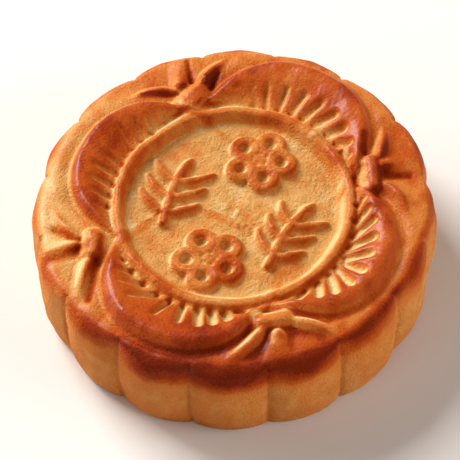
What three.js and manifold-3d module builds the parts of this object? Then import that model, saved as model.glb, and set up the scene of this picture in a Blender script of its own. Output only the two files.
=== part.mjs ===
// A baked mooncake: one solid round cake pressed in a carved mould. Its side has sixteen
// flutes, and its top has a sunken round disc inside a raised ring, four petals with combed
// grooves round the ring, a knot with two leaves between each pair of petals, and two
// blossoms and two leafy sprigs in low relief on the disc.
//
// Millimetres, +Z up. The origin is the middle of the underside, and +Y points at a petal.

import * as THREE from 'three';
import { mergeVertices } from 'three/addons/utils/BufferGeometryUtils.js';
import Module from 'manifold-3d';

// Driving dimensions -----------------------------------------------------------------------

const crownRadius = 33; // of a flute at the widest level of the side
const crestHeight = 19.4; // of the petals' crests, the cake's highest parts
const outOfRound = 0.01; // longer along Y, and shorter along X, by this share

const flutes = { count: 16, depth: 1.1, firstValley: 15.35 };
const disc = { radius: 15.9, height: 15.7 };
const ring = { radius: 19.1, height: 17.7, width: 1.2, footRadius: 20.3 };
const pitHeight = 16.1; // the deep ends of the grooves, behind the ring
const bandHeight = 17.3; // the low band between the petals and the shoulder
const grooves = { count: 10, spread: 9.7, fanCentre: 8.5 }; // per petal; degrees apart

// Each petal is an arc about a centre that lies on its axis at the distance reach, moved
// sideways by drift. They differ a little, as pressed dough does.
const petals = [
  { axis: 0, reach: 14.7, radius: 13.6, drift: -1.0 },
  { axis: 90, reach: 15.3, radius: 14.4, drift: -1.0 },
  { axis: 180, reach: 14.4, radius: 13.3, drift: 0.5 },
  { axis: 270, reach: 15.4, radius: 13.8, drift: 0.6 },
];

// Between each pair of petals a knot stands on a bearing: a block beside the ring, a lobe
// from its outer end to the shoulder, and two leaves, each through three points given as
// degrees from the knot's bearing and radius.
const knotBearings = [42, 135.5, 227, 313];
const knot = { inner: 20.2, outer: 24.8, width: 5.2, height: 18.7 };
const lobe = { inner: 24.2, outer: 29.8, width: 4.4, height: 18.5 };
const leaf = { width: 2.0, height: 18.5 };
const leafPoints = [
  [4.5, 23.4],
  [11, 26.3],
  [20, 28.0],
];

const strokeWidth = 1.35; // of the blossoms' and sprigs' raised lines
const strokeHeight = 16.9;
const blossomPetals = 5;
const blossomMiddle = 0.95;
const blossoms = [
  { x: -0.5, y: 10.2, radius: 5.9, turn: 90 },
  { x: 1.2, y: -10.6, radius: 6.0, turn: -78 },
];
const leafPairStations = [-0.36, -0.12, 0.12]; // along a sprig, as a share of its length
const tipLeafLength = 3.2;
const sideLeafLean = 3.1; // how far along the stem a side leaf's end lies past its root
const sprigs = [
  { x: -9.9, y: -0.9, length: 13.2, turn: 98, spread: 4.9 },
  { x: 10.6, y: -0.4, length: 13.8, turn: 86, spread: 4.2 },
];

const columnsPerPetal = 40;
const grooveColumns = 3 * grooves.count; // a groove's bottom and its two edges
const tipColumns = (columnsPerPetal - grooveColumns) / 2;
const buried = 1.0; // how far a raised line's underside is sunk into the cake

// Plan curves ------------------------------------------------------------------------------

const radians = THREE.MathUtils.degToRad;

function polar(bearing, radius) {
  return new THREE.Vector2(radius * Math.cos(radians(bearing)), radius * Math.sin(radians(bearing)));
}

// Radius of the fluted side: arcs that meet in valleys, each through a crown.
function flutedRadius(bearing) {
  const half = Math.PI / flutes.count;
  const valleyRadius = crownRadius - flutes.depth;
  const centre =
    (crownRadius ** 2 - valleyRadius ** 2) / (2 * (crownRadius - valleyRadius * Math.cos(half)));
  const arcRadius = crownRadius - centre;
  const pastValley = THREE.MathUtils.euclideanModulo(radians(bearing - flutes.firstValley), 2 * half);
  const angle = pastValley - half;
  return centre * Math.cos(angle) + Math.sqrt(arcRadius ** 2 - (centre * Math.sin(angle)) ** 2);
}

// Where the line from start at an angle leaves the circle about centre.
function leaveCircle(start, angle, centre, radius) {
  const direction = new THREE.Vector2(Math.cos(angle), Math.sin(angle));
  const offset = start.clone().sub(centre);
  const along = offset.dot(direction);
  const length = -along + Math.sqrt(along ** 2 - offset.lengthSq() + radius ** 2);
  return start.clone().addScaledVector(direction, length);
}

// Columns ----------------------------------------------------------------------------------

// A column is a line up the relief from the ring's foot, over a petal to the rim. Those in
// the middle of a petal follow its grooves, and those at its tips turn to the next petal's.
function grooveColumn(petal, index) {
  const centre = new THREE.Vector2(petal.reach, petal.drift);
  const fan = new THREE.Vector2(grooves.fanCentre, petal.drift);
  const angle = radians(((index + 0.5) / 3 - grooves.count / 2) * grooves.spread);
  const turn = radians(petal.axis);
  const origin = new THREE.Vector2();
  return {
    start: leaveCircle(fan, angle, origin, ring.footRadius).rotateAround(origin, turn),
    foot: leaveCircle(fan, angle, centre, petal.radius).rotateAround(origin, turn),
    groove: index % 3 === 1 ? 1 : 0,
    tip: 0,
  };
}

// The edge where two petals meet, on the bearing of the knot between them.
function cornerColumn(bearing) {
  return {
    start: polar(bearing, ring.footRadius),
    foot: polar(bearing, ring.footRadius + 1.1),
    groove: 0,
    tip: 1,
  };
}

function blendColumns(from, to, share, tip) {
  return {
    start: from.start.clone().lerp(to.start, share),
    foot: from.foot.clone().lerp(to.foot, share),
    groove: 0,
    tip,
  };
}

function petalColumns(petal, cornerBefore, cornerAfter) {
  const middle = [];
  for (let index = 0; index < grooveColumns; index += 1) {
    middle.push(grooveColumn(petal, index));
  }
  const first = middle[0];
  const last = middle[middle.length - 1];
  const before = [];
  const after = [];
  for (let step = 0; step < tipColumns; step += 1) {
    const share = step / tipColumns;
    before.push(blendColumns(cornerBefore, first, share, 1 - share));
    const shareAfter = (step + 1) / (tipColumns + 1);
    after.push(blendColumns(last, cornerAfter, shareAfter, shareAfter));
  }
  return [...before, ...middle, ...after];
}

// Sections ---------------------------------------------------------------------------------

// Disc, hollow inner slope and top of the ring: radius and height.
const ringSection = [
  [disc.radius, disc.height],
  [disc.radius + 1.3, disc.height + 0.5],
  [ring.radius - ring.width / 2, ring.height - 0.1],
  [ring.radius + ring.width / 2, ring.height],
];

// Across a petal from the ring's foot to the petal's own outer foot: share of the way, and
// the heights of a ridge and of a groove there.
const petalSection = [
  [0.0, 16.9, pitHeight],
  [0.2, 17.3, pitHeight + 0.1],
  [0.45, 17.9, 16.8],
  [0.62, 18.6, 17.6],
  [0.72, 19.0, 18.9],
  [0.83, crestHeight, crestHeight],
  [0.93, crestHeight - 0.5, crestHeight - 0.5],
  [1.0, bandHeight, bandHeight],
];

// From the petal's foot out to the rim: distance in from the flutes, the most that it may
// be as a share of the room there, and height.
const shoulderSection = [
  [5.5, 0.86, bandHeight],
  [2.1, 0.68, bandHeight],
  [1.1, 0.4, bandHeight - 0.5],
  [0.45, 0.16, bandHeight - 1.5],
  [0.2, 0.07, bandHeight - 3.1],
];

// Down the side to the underside: distance in from the flutes, and height.
const sideSection = [
  [0.0, 8.2],
  [0.5, 3.0],
  [1.0, 0.8],
  [1.9, 0.0],
];

// The points of one column from the disc's edge to the underside's edge.
function columnPoints(column, rimBearing) {
  const points = [];
  const place = (flat, z) => {
    points.push(new THREE.Vector3(flat.x * (1 - outOfRound), flat.y * (1 + outOfRound), z));
  };
  const towards = column.start.clone().normalize();
  for (const [radius, height] of ringSection) {
    place(towards.clone().multiplyScalar(radius), height);
  }
  for (const [share, ridge, groove] of petalSection) {
    const full = THREE.MathUtils.lerp(ridge, groove, column.groove);
    const height = THREE.MathUtils.lerp(full, bandHeight, 0.75 * column.tip);
    place(column.start.clone().lerp(column.foot, share), height);
  }
  const rimRadius = flutedRadius(rimBearing);
  const rim = polar(rimBearing, rimRadius);
  const room = rimRadius - column.foot.length();
  for (const [inset, most, height] of shoulderSection) {
    const share = 1 - Math.min(inset, most * room) / room;
    place(column.foot.clone().lerp(rim, share), height);
  }
  for (const [inset, height] of sideSection) {
    place(polar(rimBearing, rimRadius - inset), height);
  }
  return points;
}

// The cake ---------------------------------------------------------------------------------

// A closed mesh from rings of points: columns side by side, with a pole at each end.
function closedSkin(columns, topPole, bottomPole) {
  const rows = columns[0].length;
  const count = columns.length;
  const positions = columns.flat().flatMap((point) => point.toArray());
  positions.push(...topPole.toArray(), ...bottomPole.toArray());
  const top = count * rows;
  const bottom = top + 1;
  const faces = [];
  for (let column = 0; column < count; column += 1) {
    const here = column * rows;
    const next = ((column + 1) % count) * rows;
    faces.push(top, here, next);
    for (let row = 0; row < rows - 1; row += 1) {
      faces.push(here + row, here + row + 1, next + row + 1);
      faces.push(here + row, next + row + 1, next + row);
    }
    faces.push(bottom, next + rows - 1, here + rows - 1);
  }
  const geometry = new THREE.BufferGeometry();
  geometry.setAttribute('position', new THREE.Float32BufferAttribute(positions, 3));
  geometry.setIndex(faces);
  return geometry;
}

function cakeGeometry() {
  const corners = knotBearings.map(cornerColumn);
  const columns = petals.flatMap((petal, index) => {
    const before = corners[(index + corners.length - 1) % corners.length];
    return petalColumns(petal, before, corners[index]);
  });
  const step = 360 / columns.length;
  const firstBearing = petals[0].axis - 45 + (flutes.firstValley % step);
  const skin = columns.map((column, index) => columnPoints(column, firstBearing + index * step));
  return closedSkin(skin, new THREE.Vector3(0, 0, disc.height), new THREE.Vector3(0, 0, 0));
}

// Raised lines -----------------------------------------------------------------------------

// A rounded ridge along a plan curve. Its half width follows taper(u), from 0 to 1 along
// the curve, and its top stands at the height; a loop closes on itself.
function ridgeGeometry(curve, { steps, width, height, base, taper = () => 1, loop = false }) {
  const section = [
    [-1, 0],
    [-0.62, 0.78],
    [0, 1],
    [0.62, 0.78],
    [1, 0],
  ];
  const count = loop ? steps : steps + 1;
  const size = section.length;
  const positions = [];
  for (let index = 0; index < count; index += 1) {
    const share = index / steps;
    const middle = curve.getPointAt(share);
    const along = curve.getTangentAt(share);
    const half = (width / 2) * taper(share);
    const rise = (height - base) * Math.sqrt(taper(share));
    for (const [across, up] of section) {
      positions.push(middle.x - along.y * across * half, middle.y + along.x * across * half);
      positions.push(base + up * rise);
    }
  }
  const faces = [];
  for (let index = 0; index < (loop ? count : count - 1); index += 1) {
    const here = index * size;
    const next = ((index + 1) % count) * size;
    for (let corner = 0; corner < size; corner += 1) {
      const after = (corner + 1) % size;
      faces.push(here + corner, next + after, here + after);
      faces.push(here + corner, next + corner, next + after);
    }
  }
  if (!loop) {
    const last = (count - 1) * size;
    for (let corner = 1; corner < size - 1; corner += 1) {
      faces.push(0, corner, corner + 1);
      faces.push(last, last + corner + 1, last + corner);
    }
  }
  const geometry = new THREE.BufferGeometry();
  geometry.setAttribute('position', new THREE.Float32BufferAttribute(positions, 3));
  geometry.setIndex(faces);
  return geometry;
}

// Full in the middle and narrow at both ends, as a leaf is.
function leafTaper(share) {
  return 0.3 + 0.7 * Math.sin(Math.PI * (0.12 + 0.8 * share));
}

function smoothCurve(points) {
  return new THREE.CatmullRomCurve3(points.map((point) => new THREE.Vector3(point.x, point.y, 0)));
}

// The knot between two petals, with its lobe and its two leaves.
function knotGeometries(bearing) {
  const base = pitHeight - buried;
  const outwards = (inner, outer) => smoothCurve([polar(bearing, inner), polar(bearing, outer)]);
  const blockShape = ridgeGeometry(outwards(knot.inner, knot.outer), {
    steps: 3,
    width: knot.width,
    height: knot.height,
    base,
    taper: (share) => 0.95 - 0.35 * share,
  });
  const lobeShape = ridgeGeometry(outwards(lobe.inner, lobe.outer), {
    steps: 4,
    width: lobe.width,
    height: lobe.height,
    base,
    taper: (share) => 0.5 + 0.4 * Math.sin(Math.PI * 0.75 * share),
  });
  const leafShapes = [-1, 1].map((side) => {
    const points = leafPoints.map(([degrees, radius]) => polar(bearing + side * degrees, radius));
    return ridgeGeometry(smoothCurve(points), {
      steps: 6,
      width: leaf.width,
      height: leaf.height,
      base,
      taper: leafTaper,
    });
  });
  return [blockShape, lobeShape, ...leafShapes];
}

// A blossom: looped petals round a round middle.
function blossomGeometries({ x, y, radius, turn }) {
  const base = disc.height - buried;
  const loopReach = 0.6 * radius;
  const loopLength = radius - loopReach - strokeWidth / 2;
  const loopBreadth = 0.3 * radius;
  const shapes = [];
  for (let index = 0; index < blossomPetals; index += 1) {
    const bearing = turn + (index * 360) / blossomPetals;
    const centre = polar(bearing, loopReach).add(new THREE.Vector2(x, y));
    const outline = new THREE.EllipseCurve(centre.x, centre.y, loopLength, loopBreadth);
    outline.aRotation = radians(bearing);
    const loop = ridgeGeometry(outline, {
      steps: 10,
      width: strokeWidth,
      height: strokeHeight,
      base,
      loop: true,
    });
    shapes.push(loop);
  }
  const middle = new THREE.SphereGeometry(blossomMiddle, 8, 4);
  middle.scale(1, 1, 1.3);
  middle.translate(x, y, disc.height);
  return [...shapes, middle];
}

// A sprig: a bent stem with pairs of leaves, and one leaf at its end.
function sprigGeometries({ x, y, length, turn, spread }) {
  const half = length / 2;
  const bend = (along) => 0.06 * length * Math.cos((along / length) * Math.PI);
  const place = (along, across = 0) => {
    const point = new THREE.Vector2(along, bend(along) + across);
    return point.rotateAround(new THREE.Vector2(), radians(turn)).add({ x, y });
  };
  const stroke = (points, width) =>
    ridgeGeometry(smoothCurve(points), {
      steps: 4,
      width,
      height: strokeHeight,
      base: disc.height - buried,
      taper: leafTaper,
    });
  const stemEnd = half - tipLeafLength;
  const stem = stroke([place(-half), place(0), place(stemEnd)], strokeWidth);
  const tip = stroke([place(stemEnd), place(half)], 1.5 * strokeWidth);
  const leaves = leafPairStations.flatMap((station) => {
    const root = station * length;
    return [-1, 1].map((side) => {
      const start = place(root, 0.35 * side);
      const middle = place(root + 0.42 * sideLeafLean, 0.62 * side * spread);
      const end = place(root + sideLeafLean, side * spread);
      return stroke([start, middle, end], 1.25 * strokeWidth);
    });
  });
  return [stem, tip, ...leaves];
}

// Joining ----------------------------------------------------------------------------------

const wasm = await Module();
wasm.setup();

function toSolid(geometry) {
  geometry.deleteAttribute('normal');
  geometry.deleteAttribute('uv');
  const merged = mergeVertices(geometry);
  return new wasm.Manifold(
    new wasm.Mesh({
      numProp: 3,
      vertProperties: new Float32Array(merged.attributes.position.array),
      triVerts: new Uint32Array(merged.index.array),
    }),
  );
}

function toGeometry(solid) {
  const mesh = solid.getMesh();
  const geometry = new THREE.BufferGeometry();
  geometry.setAttribute('position', new THREE.BufferAttribute(new Float32Array(mesh.vertProperties), 3));
  geometry.setIndex(new THREE.BufferAttribute(new Uint32Array(mesh.triVerts), 1));
  return geometry;
}

const raisedLines = [
  ...knotBearings.flatMap(knotGeometries),
  ...blossoms.flatMap(blossomGeometries),
  ...sprigs.flatMap(sprigGeometries),
];
const cake = raisedLines.reduce((solid, line) => solid.add(toSolid(line)), toSolid(cakeGeometry()));

const crust = new THREE.MeshStandardMaterial({ color: 0xc47a35, roughness: 0.45, metalness: 0 });
const mooncake = new THREE.Mesh(toGeometry(cake), crust);
mooncake.name = 'mooncake';

const model = new THREE.Group();
model.add(mooncake);

export default model;
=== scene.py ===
"""A baked mooncake, pressed in a carved mould, on a pale table.

The cake is one closed skin that stands for the frame's node ``mooncake``. Lengths are in
millimetres until a mesh is written, which is in metres. Bearings are in degrees, from +X
towards +Y as seen from above.
"""

import logging
import math
from collections.abc import Callable
from dataclasses import dataclass
from enum import Enum

import bpy
import numpy as np
from mathutils import Matrix, Vector


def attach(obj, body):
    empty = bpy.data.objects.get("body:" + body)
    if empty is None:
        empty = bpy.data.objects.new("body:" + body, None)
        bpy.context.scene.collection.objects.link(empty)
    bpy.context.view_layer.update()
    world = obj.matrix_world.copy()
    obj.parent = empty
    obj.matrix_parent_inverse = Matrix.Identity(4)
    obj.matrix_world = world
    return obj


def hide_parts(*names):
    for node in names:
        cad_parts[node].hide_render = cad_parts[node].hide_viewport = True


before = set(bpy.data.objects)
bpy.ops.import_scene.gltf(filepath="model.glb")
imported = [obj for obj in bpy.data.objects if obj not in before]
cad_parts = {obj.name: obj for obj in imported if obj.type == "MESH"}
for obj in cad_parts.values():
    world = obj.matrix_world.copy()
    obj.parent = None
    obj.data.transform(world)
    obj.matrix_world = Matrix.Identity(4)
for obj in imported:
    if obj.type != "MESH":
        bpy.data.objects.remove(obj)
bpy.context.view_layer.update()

LOG = logging.getLogger("mooncake")
MM = 0.001
Array = np.ndarray
Colour = tuple[float, float, float]
Points = tuple[tuple[float, ...], ...]


# Curves and waves


def smooth_step(low: float, high: float, x: Array) -> Array:
    """Rises from 0 at low to 1 at high, level at both ends."""
    t = np.clip((x - low) / (high - low), 0.0, 1.0)
    return t * t * (3.0 - 2.0 * t)


def soft_max(a: Array, b: Array, reach: float) -> Array:
    """The larger of a and b, rounded where they are closer than reach."""
    h = np.clip(0.5 + 0.5 * (a - b) / reach, 0.0, 1.0)
    return b + (a - b) * h + reach * h * (1.0 - h)


def soft_min(a: Array, b: Array, reach: float) -> Array:
    """The smaller of a and b, rounded where they are closer than reach."""
    return -soft_max(-a, -b, reach)


def lerp(a: Array, b: Array, share: Array) -> Array:
    """The value that lies share of the way from a to b."""
    return a + (b - a) * share


def bell(x: Array) -> Array:
    """A raised cosine: 1 at 0, falling to 0 at 1."""
    return 0.5 + 0.5 * np.cos(math.pi * np.clip(x, 0.0, 1.0))


def profile(x: Array, points: Points) -> Array:
    """A cubic through points that never overshoots them.

    The slope at a point is the harmonic mean of the slopes beside it, or level where they
    differ in sign, and each stretch is a Hermite cubic.

    Args:
        x: Where to read the curve. Past the ends it stays at the end values.
        points: Pairs of place and value, in rising order of place.

    Returns:
        The curve's values, in the shape of x.
    """
    places, values = np.array(points, dtype=float).T
    width = np.diff(places)
    slope = np.diff(values) / width
    tangent = np.zeros_like(values)
    before, after = slope[:-1], slope[1:]
    same = before * after > 0.0
    tangent[1:-1][same] = 2.0 * before[same] * after[same] / (before[same] + after[same])
    tangent[0], tangent[-1] = slope[0], slope[-1]
    x = np.clip(x, places[0], places[-1])
    i = np.clip(np.searchsorted(places, x, side="right") - 1, 0, len(width) - 1)
    t = (x - places[i]) / width[i]
    rise = values[i] * (1 + 2 * t) * (1 - t) ** 2 + values[i + 1] * t * t * (3 - 2 * t)
    return rise + width[i] * t * (1 - t) * (tangent[i] * (1 - t) - tangent[i + 1] * t)


def waves(places: Array, wavelength: float, seed: int) -> Array:
    """Smooth noise of about unit size: a sum of 20 sine waves in seeded directions.

    Args:
        places: Points, one row each.
        wavelength: Middle wavelength; the waves' own lie from 0.7 to 1.5 times it.
        seed: Seed of the directions, wavelengths and phases.

    Returns:
        One number for each point.
    """
    count = 20
    draw = np.random.default_rng(seed)
    direction = draw.normal(size=(count, places.shape[1]))
    direction /= np.linalg.norm(direction, axis=1, keepdims=True)
    length = wavelength * draw.uniform(0.7, 1.5, (count, 1))
    phase = draw.uniform(0.0, 2.0 * math.pi, count)
    turns = places @ (2.0 * math.pi * direction / length).T + phase
    return np.sin(turns).sum(axis=1) / math.sqrt(count / 2.0)


def ripples(places: Array, parts: Points) -> Array:
    """Waves added up, each part given by its height, wavelength and seed."""
    return sum(height * waves(places, wavelength, seed) for height, wavelength, seed in parts)


def polar(radius: float, bearing: float) -> tuple[float, float]:
    """The plan point at a radius and a bearing."""
    return radius * math.cos(math.radians(bearing)), radius * math.sin(math.radians(bearing))


def bent(points: Points, steps: int) -> Array:
    """A smooth path through two or three plan points.

    Three points are joined by the parabola (quadratic Bezier) that passes through the
    middle one half way along.

    Args:
        points: The points.
        steps: How many stretches the path has.

    Returns:
        The path's steps + 1 points, one row each.
    """
    share = np.linspace(0.0, 1.0, steps + 1)[:, None]
    first, last = np.array(points[0]), np.array(points[-1])
    if len(points) == 2:
        return lerp(first, last, share)
    pull = 2.0 * np.array(points[1]) - (first + last) / 2.0
    return (1 - share) ** 2 * first + 2 * share * (1 - share) * pull + share**2 * last


@dataclass(frozen=True)
class Plan:
    """Places as seen from above."""

    x: Array
    y: Array

    @property
    def radius(self) -> Array:
        """Distances from the cake's middle."""
        return np.hypot(self.x, self.y)

    @property
    def rows(self) -> Array:
        """The places, one row each."""
        return np.stack([self.x, self.y], axis=-1)

    def shifted(self, step: float, bearing: float) -> "Plan":
        """The places a step away, towards a bearing."""
        dx, dy = polar(step, bearing)
        return Plan(self.x + dx, self.y + dy)

    def turned(self, bearing: float) -> tuple[Array, Array]:
        """Distances from the middle along a bearing and square to it."""
        ahead_x, ahead_y = polar(1.0, bearing)
        return self.x * ahead_x + self.y * ahead_y, self.y * ahead_x - self.x * ahead_y

    def towards(self, bearing: float) -> Array:
        """1 for places towards a bearing from the middle, falling to 0 square to it."""
        return np.clip(self.turned(bearing)[0] / np.maximum(self.radius, 1.0), 0.0, 1.0)


def mean_around(height: Callable[[Plan], Array], at: Plan, reach: float, count: int) -> Array:
    """The mean of a height at count places on a circle round each place."""
    return sum(height(at.shifted(reach, turn * 360.0 / count)) for turn in range(count)) / count


# The mould's carving


@dataclass(frozen=True)
class RaisedLine:
    """A raised stroke, leaf or lobe along a plan path.

    Attributes:
        path: Plan points of its middle line, one row each.
        half_width: Half its width at each point, where its flank meets the ground.
        rise: Its height above the ground at each point.
        squareness: Above 1 the top is broad and the flanks are steep.
    """

    path: Array
    half_width: Array
    rise: Array
    squareness: float

    @classmethod
    def leaf(cls, path: Array, half_width: float, rise: float, blunt: float) -> "RaisedLine":
        """A leaf: full a third of the way along, narrower and lower at both ends.

        Args:
            path: Plan points of its middle line.
            half_width: Half its greatest width.
            rise: Its greatest height.
            blunt: How full the ends stay.

        Returns:
            The leaf as a raised line.
        """
        share = np.linspace(0.0, 1.0, len(path))
        fullness = blunt + (1.0 - blunt) * np.sin(math.pi * np.clip(0.12 + 0.84 * share**0.85, 0, 1))
        return cls(path, half_width * fullness, rise * np.sqrt(fullness), 1.15)

    @classmethod
    def stroke(cls, path: Array, half_width: float, rise: float, squareness: float = 2.6) -> "RaisedLine":
        """A stroke of one width and height."""
        ones = np.ones(len(path))
        return cls(path, half_width * ones, rise * ones, squareness)

    def height(self, at: Plan) -> Array:
        """Its height above the ground.

        Across each stretch of the path the height is a raised cosine of the distance from
        it, and the highest stretch counts.

        Args:
            at: Places, in one row.

        Returns:
            Heights, 0 away from the line.
        """
        low = self.path.min(axis=0) - self.half_width.max()
        high = self.path.max(axis=0) + self.half_width.max()
        near = (at.x > low[0]) & (at.x < high[0]) & (at.y > low[1]) & (at.y < high[1])
        place = Plan(at.x[near], at.y[near]).rows[:, None, :]
        start, along = self.path[:-1], np.diff(self.path, axis=0)
        share = ((place - start) * along).sum(axis=-1) / (along**2).sum(axis=-1)
        share = np.clip(share, 0.0, 1.0)
        gap = np.linalg.norm(place - start - share[..., None] * along, axis=-1)
        half = lerp(self.half_width[:-1], self.half_width[1:], share)
        over = lerp(self.rise[:-1], self.rise[1:], share) * bell((gap / half) ** self.squareness)
        result = np.zeros_like(at.x)
        result[near] = over.max(axis=1)
        return result


def joined(heights: list[Array]) -> Array:
    """One height for overlapping lines: the largest, slightly higher where they cross."""
    return sum(height**5 for height in heights) ** 0.2


def marked(marks: Points, squareness: float, at: Plan) -> Array:
    """1 along straight marks, each given by its two ends and half width, and 0 elsewhere."""
    lines = [RaisedLine.stroke(bent((mark[:2], mark[2:4]), 1), mark[4], 1.0, squareness) for mark in marks]
    return joined([line.height(at) for line in lines])


@dataclass(frozen=True)
class Flutes:
    """The round lobes of the side, which meet in valleys."""

    count: int = 16
    depth: float = 1.1
    first_valley: float = 15.35
    softness: float = 0.4
    crease_depth: float = 0.3
    crease_width: float = 0.75

    def off_valley(self, bearing: Array) -> Array:
        """Degrees from the nearest valley, 0 to half a lobe."""
        half = 180.0 / self.count
        return np.abs((bearing - self.first_valley + half) % (2 * half) - half)

    def depth_at(self, bearing: Array, share: Array) -> Array:
        """How far the side lies inside its crowns.

        Each lobe is an arc, close to a parabola in its bearing. Softness (in degrees)
        rounds the valleys, and a narrow crease runs along them.

        Args:
            bearing: Bearings in degrees.
            share: How much of the lobes' depth is left at this level.

        Returns:
            Distances inside the crown radius.
        """
        off_valley = self.off_valley(bearing)
        rounded = np.sqrt(off_valley**2 + self.softness**2)
        off_crown = np.clip(1.0 - rounded * self.count / 180.0, 0.0, 1.0)
        crease = np.exp(-((off_valley / self.crease_width) ** 2)) * smooth_step(0.0, 0.3, share)
        return self.depth * share * off_crown**2 + self.crease_depth * crease


@dataclass(frozen=True)
class Petal:
    """A combed petal behind the ring: a slope up to a rolled edge, cut by grooves.

    Attributes:
        axis: Bearing of its middle.
        reach: Distance of its outline's centre from the cake's middle.
        drift: Shift of that centre towards larger bearings.
        radius: Radius of its outline.
        crest: How far inside the outline its highest line runs.
        painted_light_in_grooves: How much paler the grooves are painted farther out, as painted
        light on walls that face the lights, at the end of smaller bearings and at the end of larger ones.
        crispness: How much of its depth a groove keeps at its outer end, in the same way.
        grooves: The comb's grooves, each as the plan points of its inner and outer end,
            its half width at both, and its share of the full depth.
    """

    axis: float
    reach: float
    drift: float
    radius: float
    crest: float
    painted_light_in_grooves: tuple[float, float]
    crispness: tuple[float, float]
    grooves: Points

    squareness: float = 2.2  # above 2 the outline is fuller than a circle between its four points
    skirt: float = 0.6  # how far outside the outline its flank runs out
    cord_gap: float = 2.3  # a low cord runs round the outline, this far outside it
    cord_half_width: float = 2.0
    cord_rise: float = 0.25
    section: Points = (
        (0.0, 0.0), (0.35, 0.42), (0.65, 0.78), (0.88, 0.97), (1.0, 1.0),
        (1.25, 0.93), (1.6, 0.6), (1.85, 0.22), (2.0, 0.0),
    )  # fmt: skip
    crest_height: float = 19.5
    crest_fall: float = 0.8  # how much lower it is near the knots
    half_spread: float = 42.0  # degrees from its axis to the knots
    foot_height: float = 16.9
    join_height: float = 17.5  # where a tip meets the ring
    join_slope: float = 0.85
    groove_depth: float = 1.4
    groove_spread: float = 0.95  # how much narrower rising dough left the grooves
    comb_breadth: float = 18.0
    pooled_glaze_and_shade: float = 0.3  # how much darker a groove's inner end is: pooled glaze and painted shade under the ring

    def laid_on(self, ground: Array, at: Plan, ring_foot: float) -> Array:
        """The ground's heights with the petal standing on them.

        Its section runs from 0 at the ring, over 1 on the crest line, to 2 where the flank
        runs out past the outline. A slope beside the ring brings the tips down to it, and
        the grooves are cut into that.

        Args:
            ground: The heights around it.
            at: Places on the top.
            ring_foot: Radius of the ring's outer foot.

        Returns:
            Heights in millimetres.
        """
        u, v = at.turned(self.axis)
        power = self.squareness
        outline = (np.abs(u - self.reach) ** power + np.abs(v - self.drift) ** power) ** (1.0 / power)
        inside = self.radius - outline
        past_ring = np.maximum(at.radius - ring_foot, 0.0)
        aside = np.degrees(np.arctan2(v, u)) / self.half_spread
        before_crest = np.maximum(inside - self.crest, 0.0)
        climb = past_ring / (past_ring + before_crest + 1e-6)
        fall = np.clip((self.crest - inside) / (self.crest + self.skirt), 0.0, 1.0)
        cord = self.cord_rise * bell(np.abs(inside + self.cord_gap) / self.cord_half_width)
        ground = np.maximum(ground, profile(at.radius, Cake.ground_section) + np.where(u > 0.0, cord, 0.0))
        base = lerp(self.foot_height, ground, smooth_step(0.7, 1.3, climb + fall))
        top = self.crest_height - self.crest_fall * aside**2
        join = self.join_height + self.join_slope * past_ring
        surface = soft_min(lerp(base, top, profile(climb + fall, self.section)), join, 0.5)
        surface = np.maximum(surface - self.groove_depth * self.comb(at), ground - self.groove_depth)
        return np.where((inside > -self.skirt) & (u > 0.0), surface, ground)

    def comb(self, at: Plan) -> Array:
        """How deep the comb's grooves are cut.

        Args:
            at: Places on the top.

        Returns:
            Shares of the full depth.
        """
        cuts = []
        steps = np.linspace(0.0, 1.0, 5)
        for *ends, start_half, end_half, share in self.grooves:
            path = bent((ends[:2], ends[2:]), 4)
            half_width = self.groove_spread * lerp(start_half, end_half, np.sqrt(steps))
            crispness = self._between(self.crispness, Plan(*ends[2:]))
            depth = share * lerp(1.0, crispness, steps)
            cuts.append(RaisedLine(path, half_width, depth, 1.0 + 0.25 * crispness).height(at))
        return joined(cuts)

    def _between(self, ends: tuple[float, float], at: Plan) -> Array:
        """A value that runs from ends[0] to ends[1] across the comb."""
        across = at.turned(self.axis)[1] / self.comb_breadth + 0.5
        return lerp(ends[0], ends[1], np.clip(across, 0.0, 1.0))

    def groove_light_and_shade(self, at: Plan, past_ring: Array) -> Array:
        """How much darker the grooves are: pooled glaze and painted shade beside the ring, paler farther out
        as painted light.
        """
        painted_light_in_grooves = self._between(self.painted_light_in_grooves, at)
        return self.comb(at) * lerp(self.pooled_glaze_and_shade, -painted_light_in_grooves, smooth_step(-0.3, 1.0, past_ring))


@dataclass(frozen=True)
class Knot:
    """The knot between two petals, with a lobe out to the shoulder and two leaves.

    Attributes:
        block: Plan points of the two ends of the knot's middle line.
        block_half_width: Half the knot's width.
        lobe: Plan points of the lobe's middle line.
        leaves: Plan points of each leaf's middle line.
        leaf_widths: Half a leaf's width, by the share of its length.
        leaf_rises: A leaf's height, in the same way.
    """

    block: Points
    block_half_width: float
    lobe: Points
    leaves: tuple[Points, ...]

    block_rise: float = 1.85
    lobe_half_width: float = 2.7
    lobe_rise: float = 1.4
    leaf_widths: Points = ((0.0, 1.52), (0.3, 1.9), (0.7, 1.52), (1.0, 0.76))
    leaf_rises: Points = ((0.0, 1.19), (0.3, 1.4), (0.7, 0.98), (1.0, 0.14))

    def lines(self) -> list[RaisedLine]:
        """The knot's parts: the block, the lobe and the leaves.

        Returns:
            One raised line for each part.
        """
        block = RaisedLine.stroke(bent(self.block, 4), self.block_half_width, self.block_rise, 1.5)
        width = self.lobe_half_width * np.linspace(0.75, 1.05, 7)
        lobe = RaisedLine(bent(self.lobe, 6), width, self.lobe_rise * np.linspace(1.0, 0.15, 7), 1.05)
        share = np.linspace(0.0, 1.0, 9)
        width, rise = profile(share, self.leaf_widths), profile(share, self.leaf_rises)
        return [block, lobe, *(RaisedLine(bent(leaf, 8), width, rise, 1.05) for leaf in self.leaves)]


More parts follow.
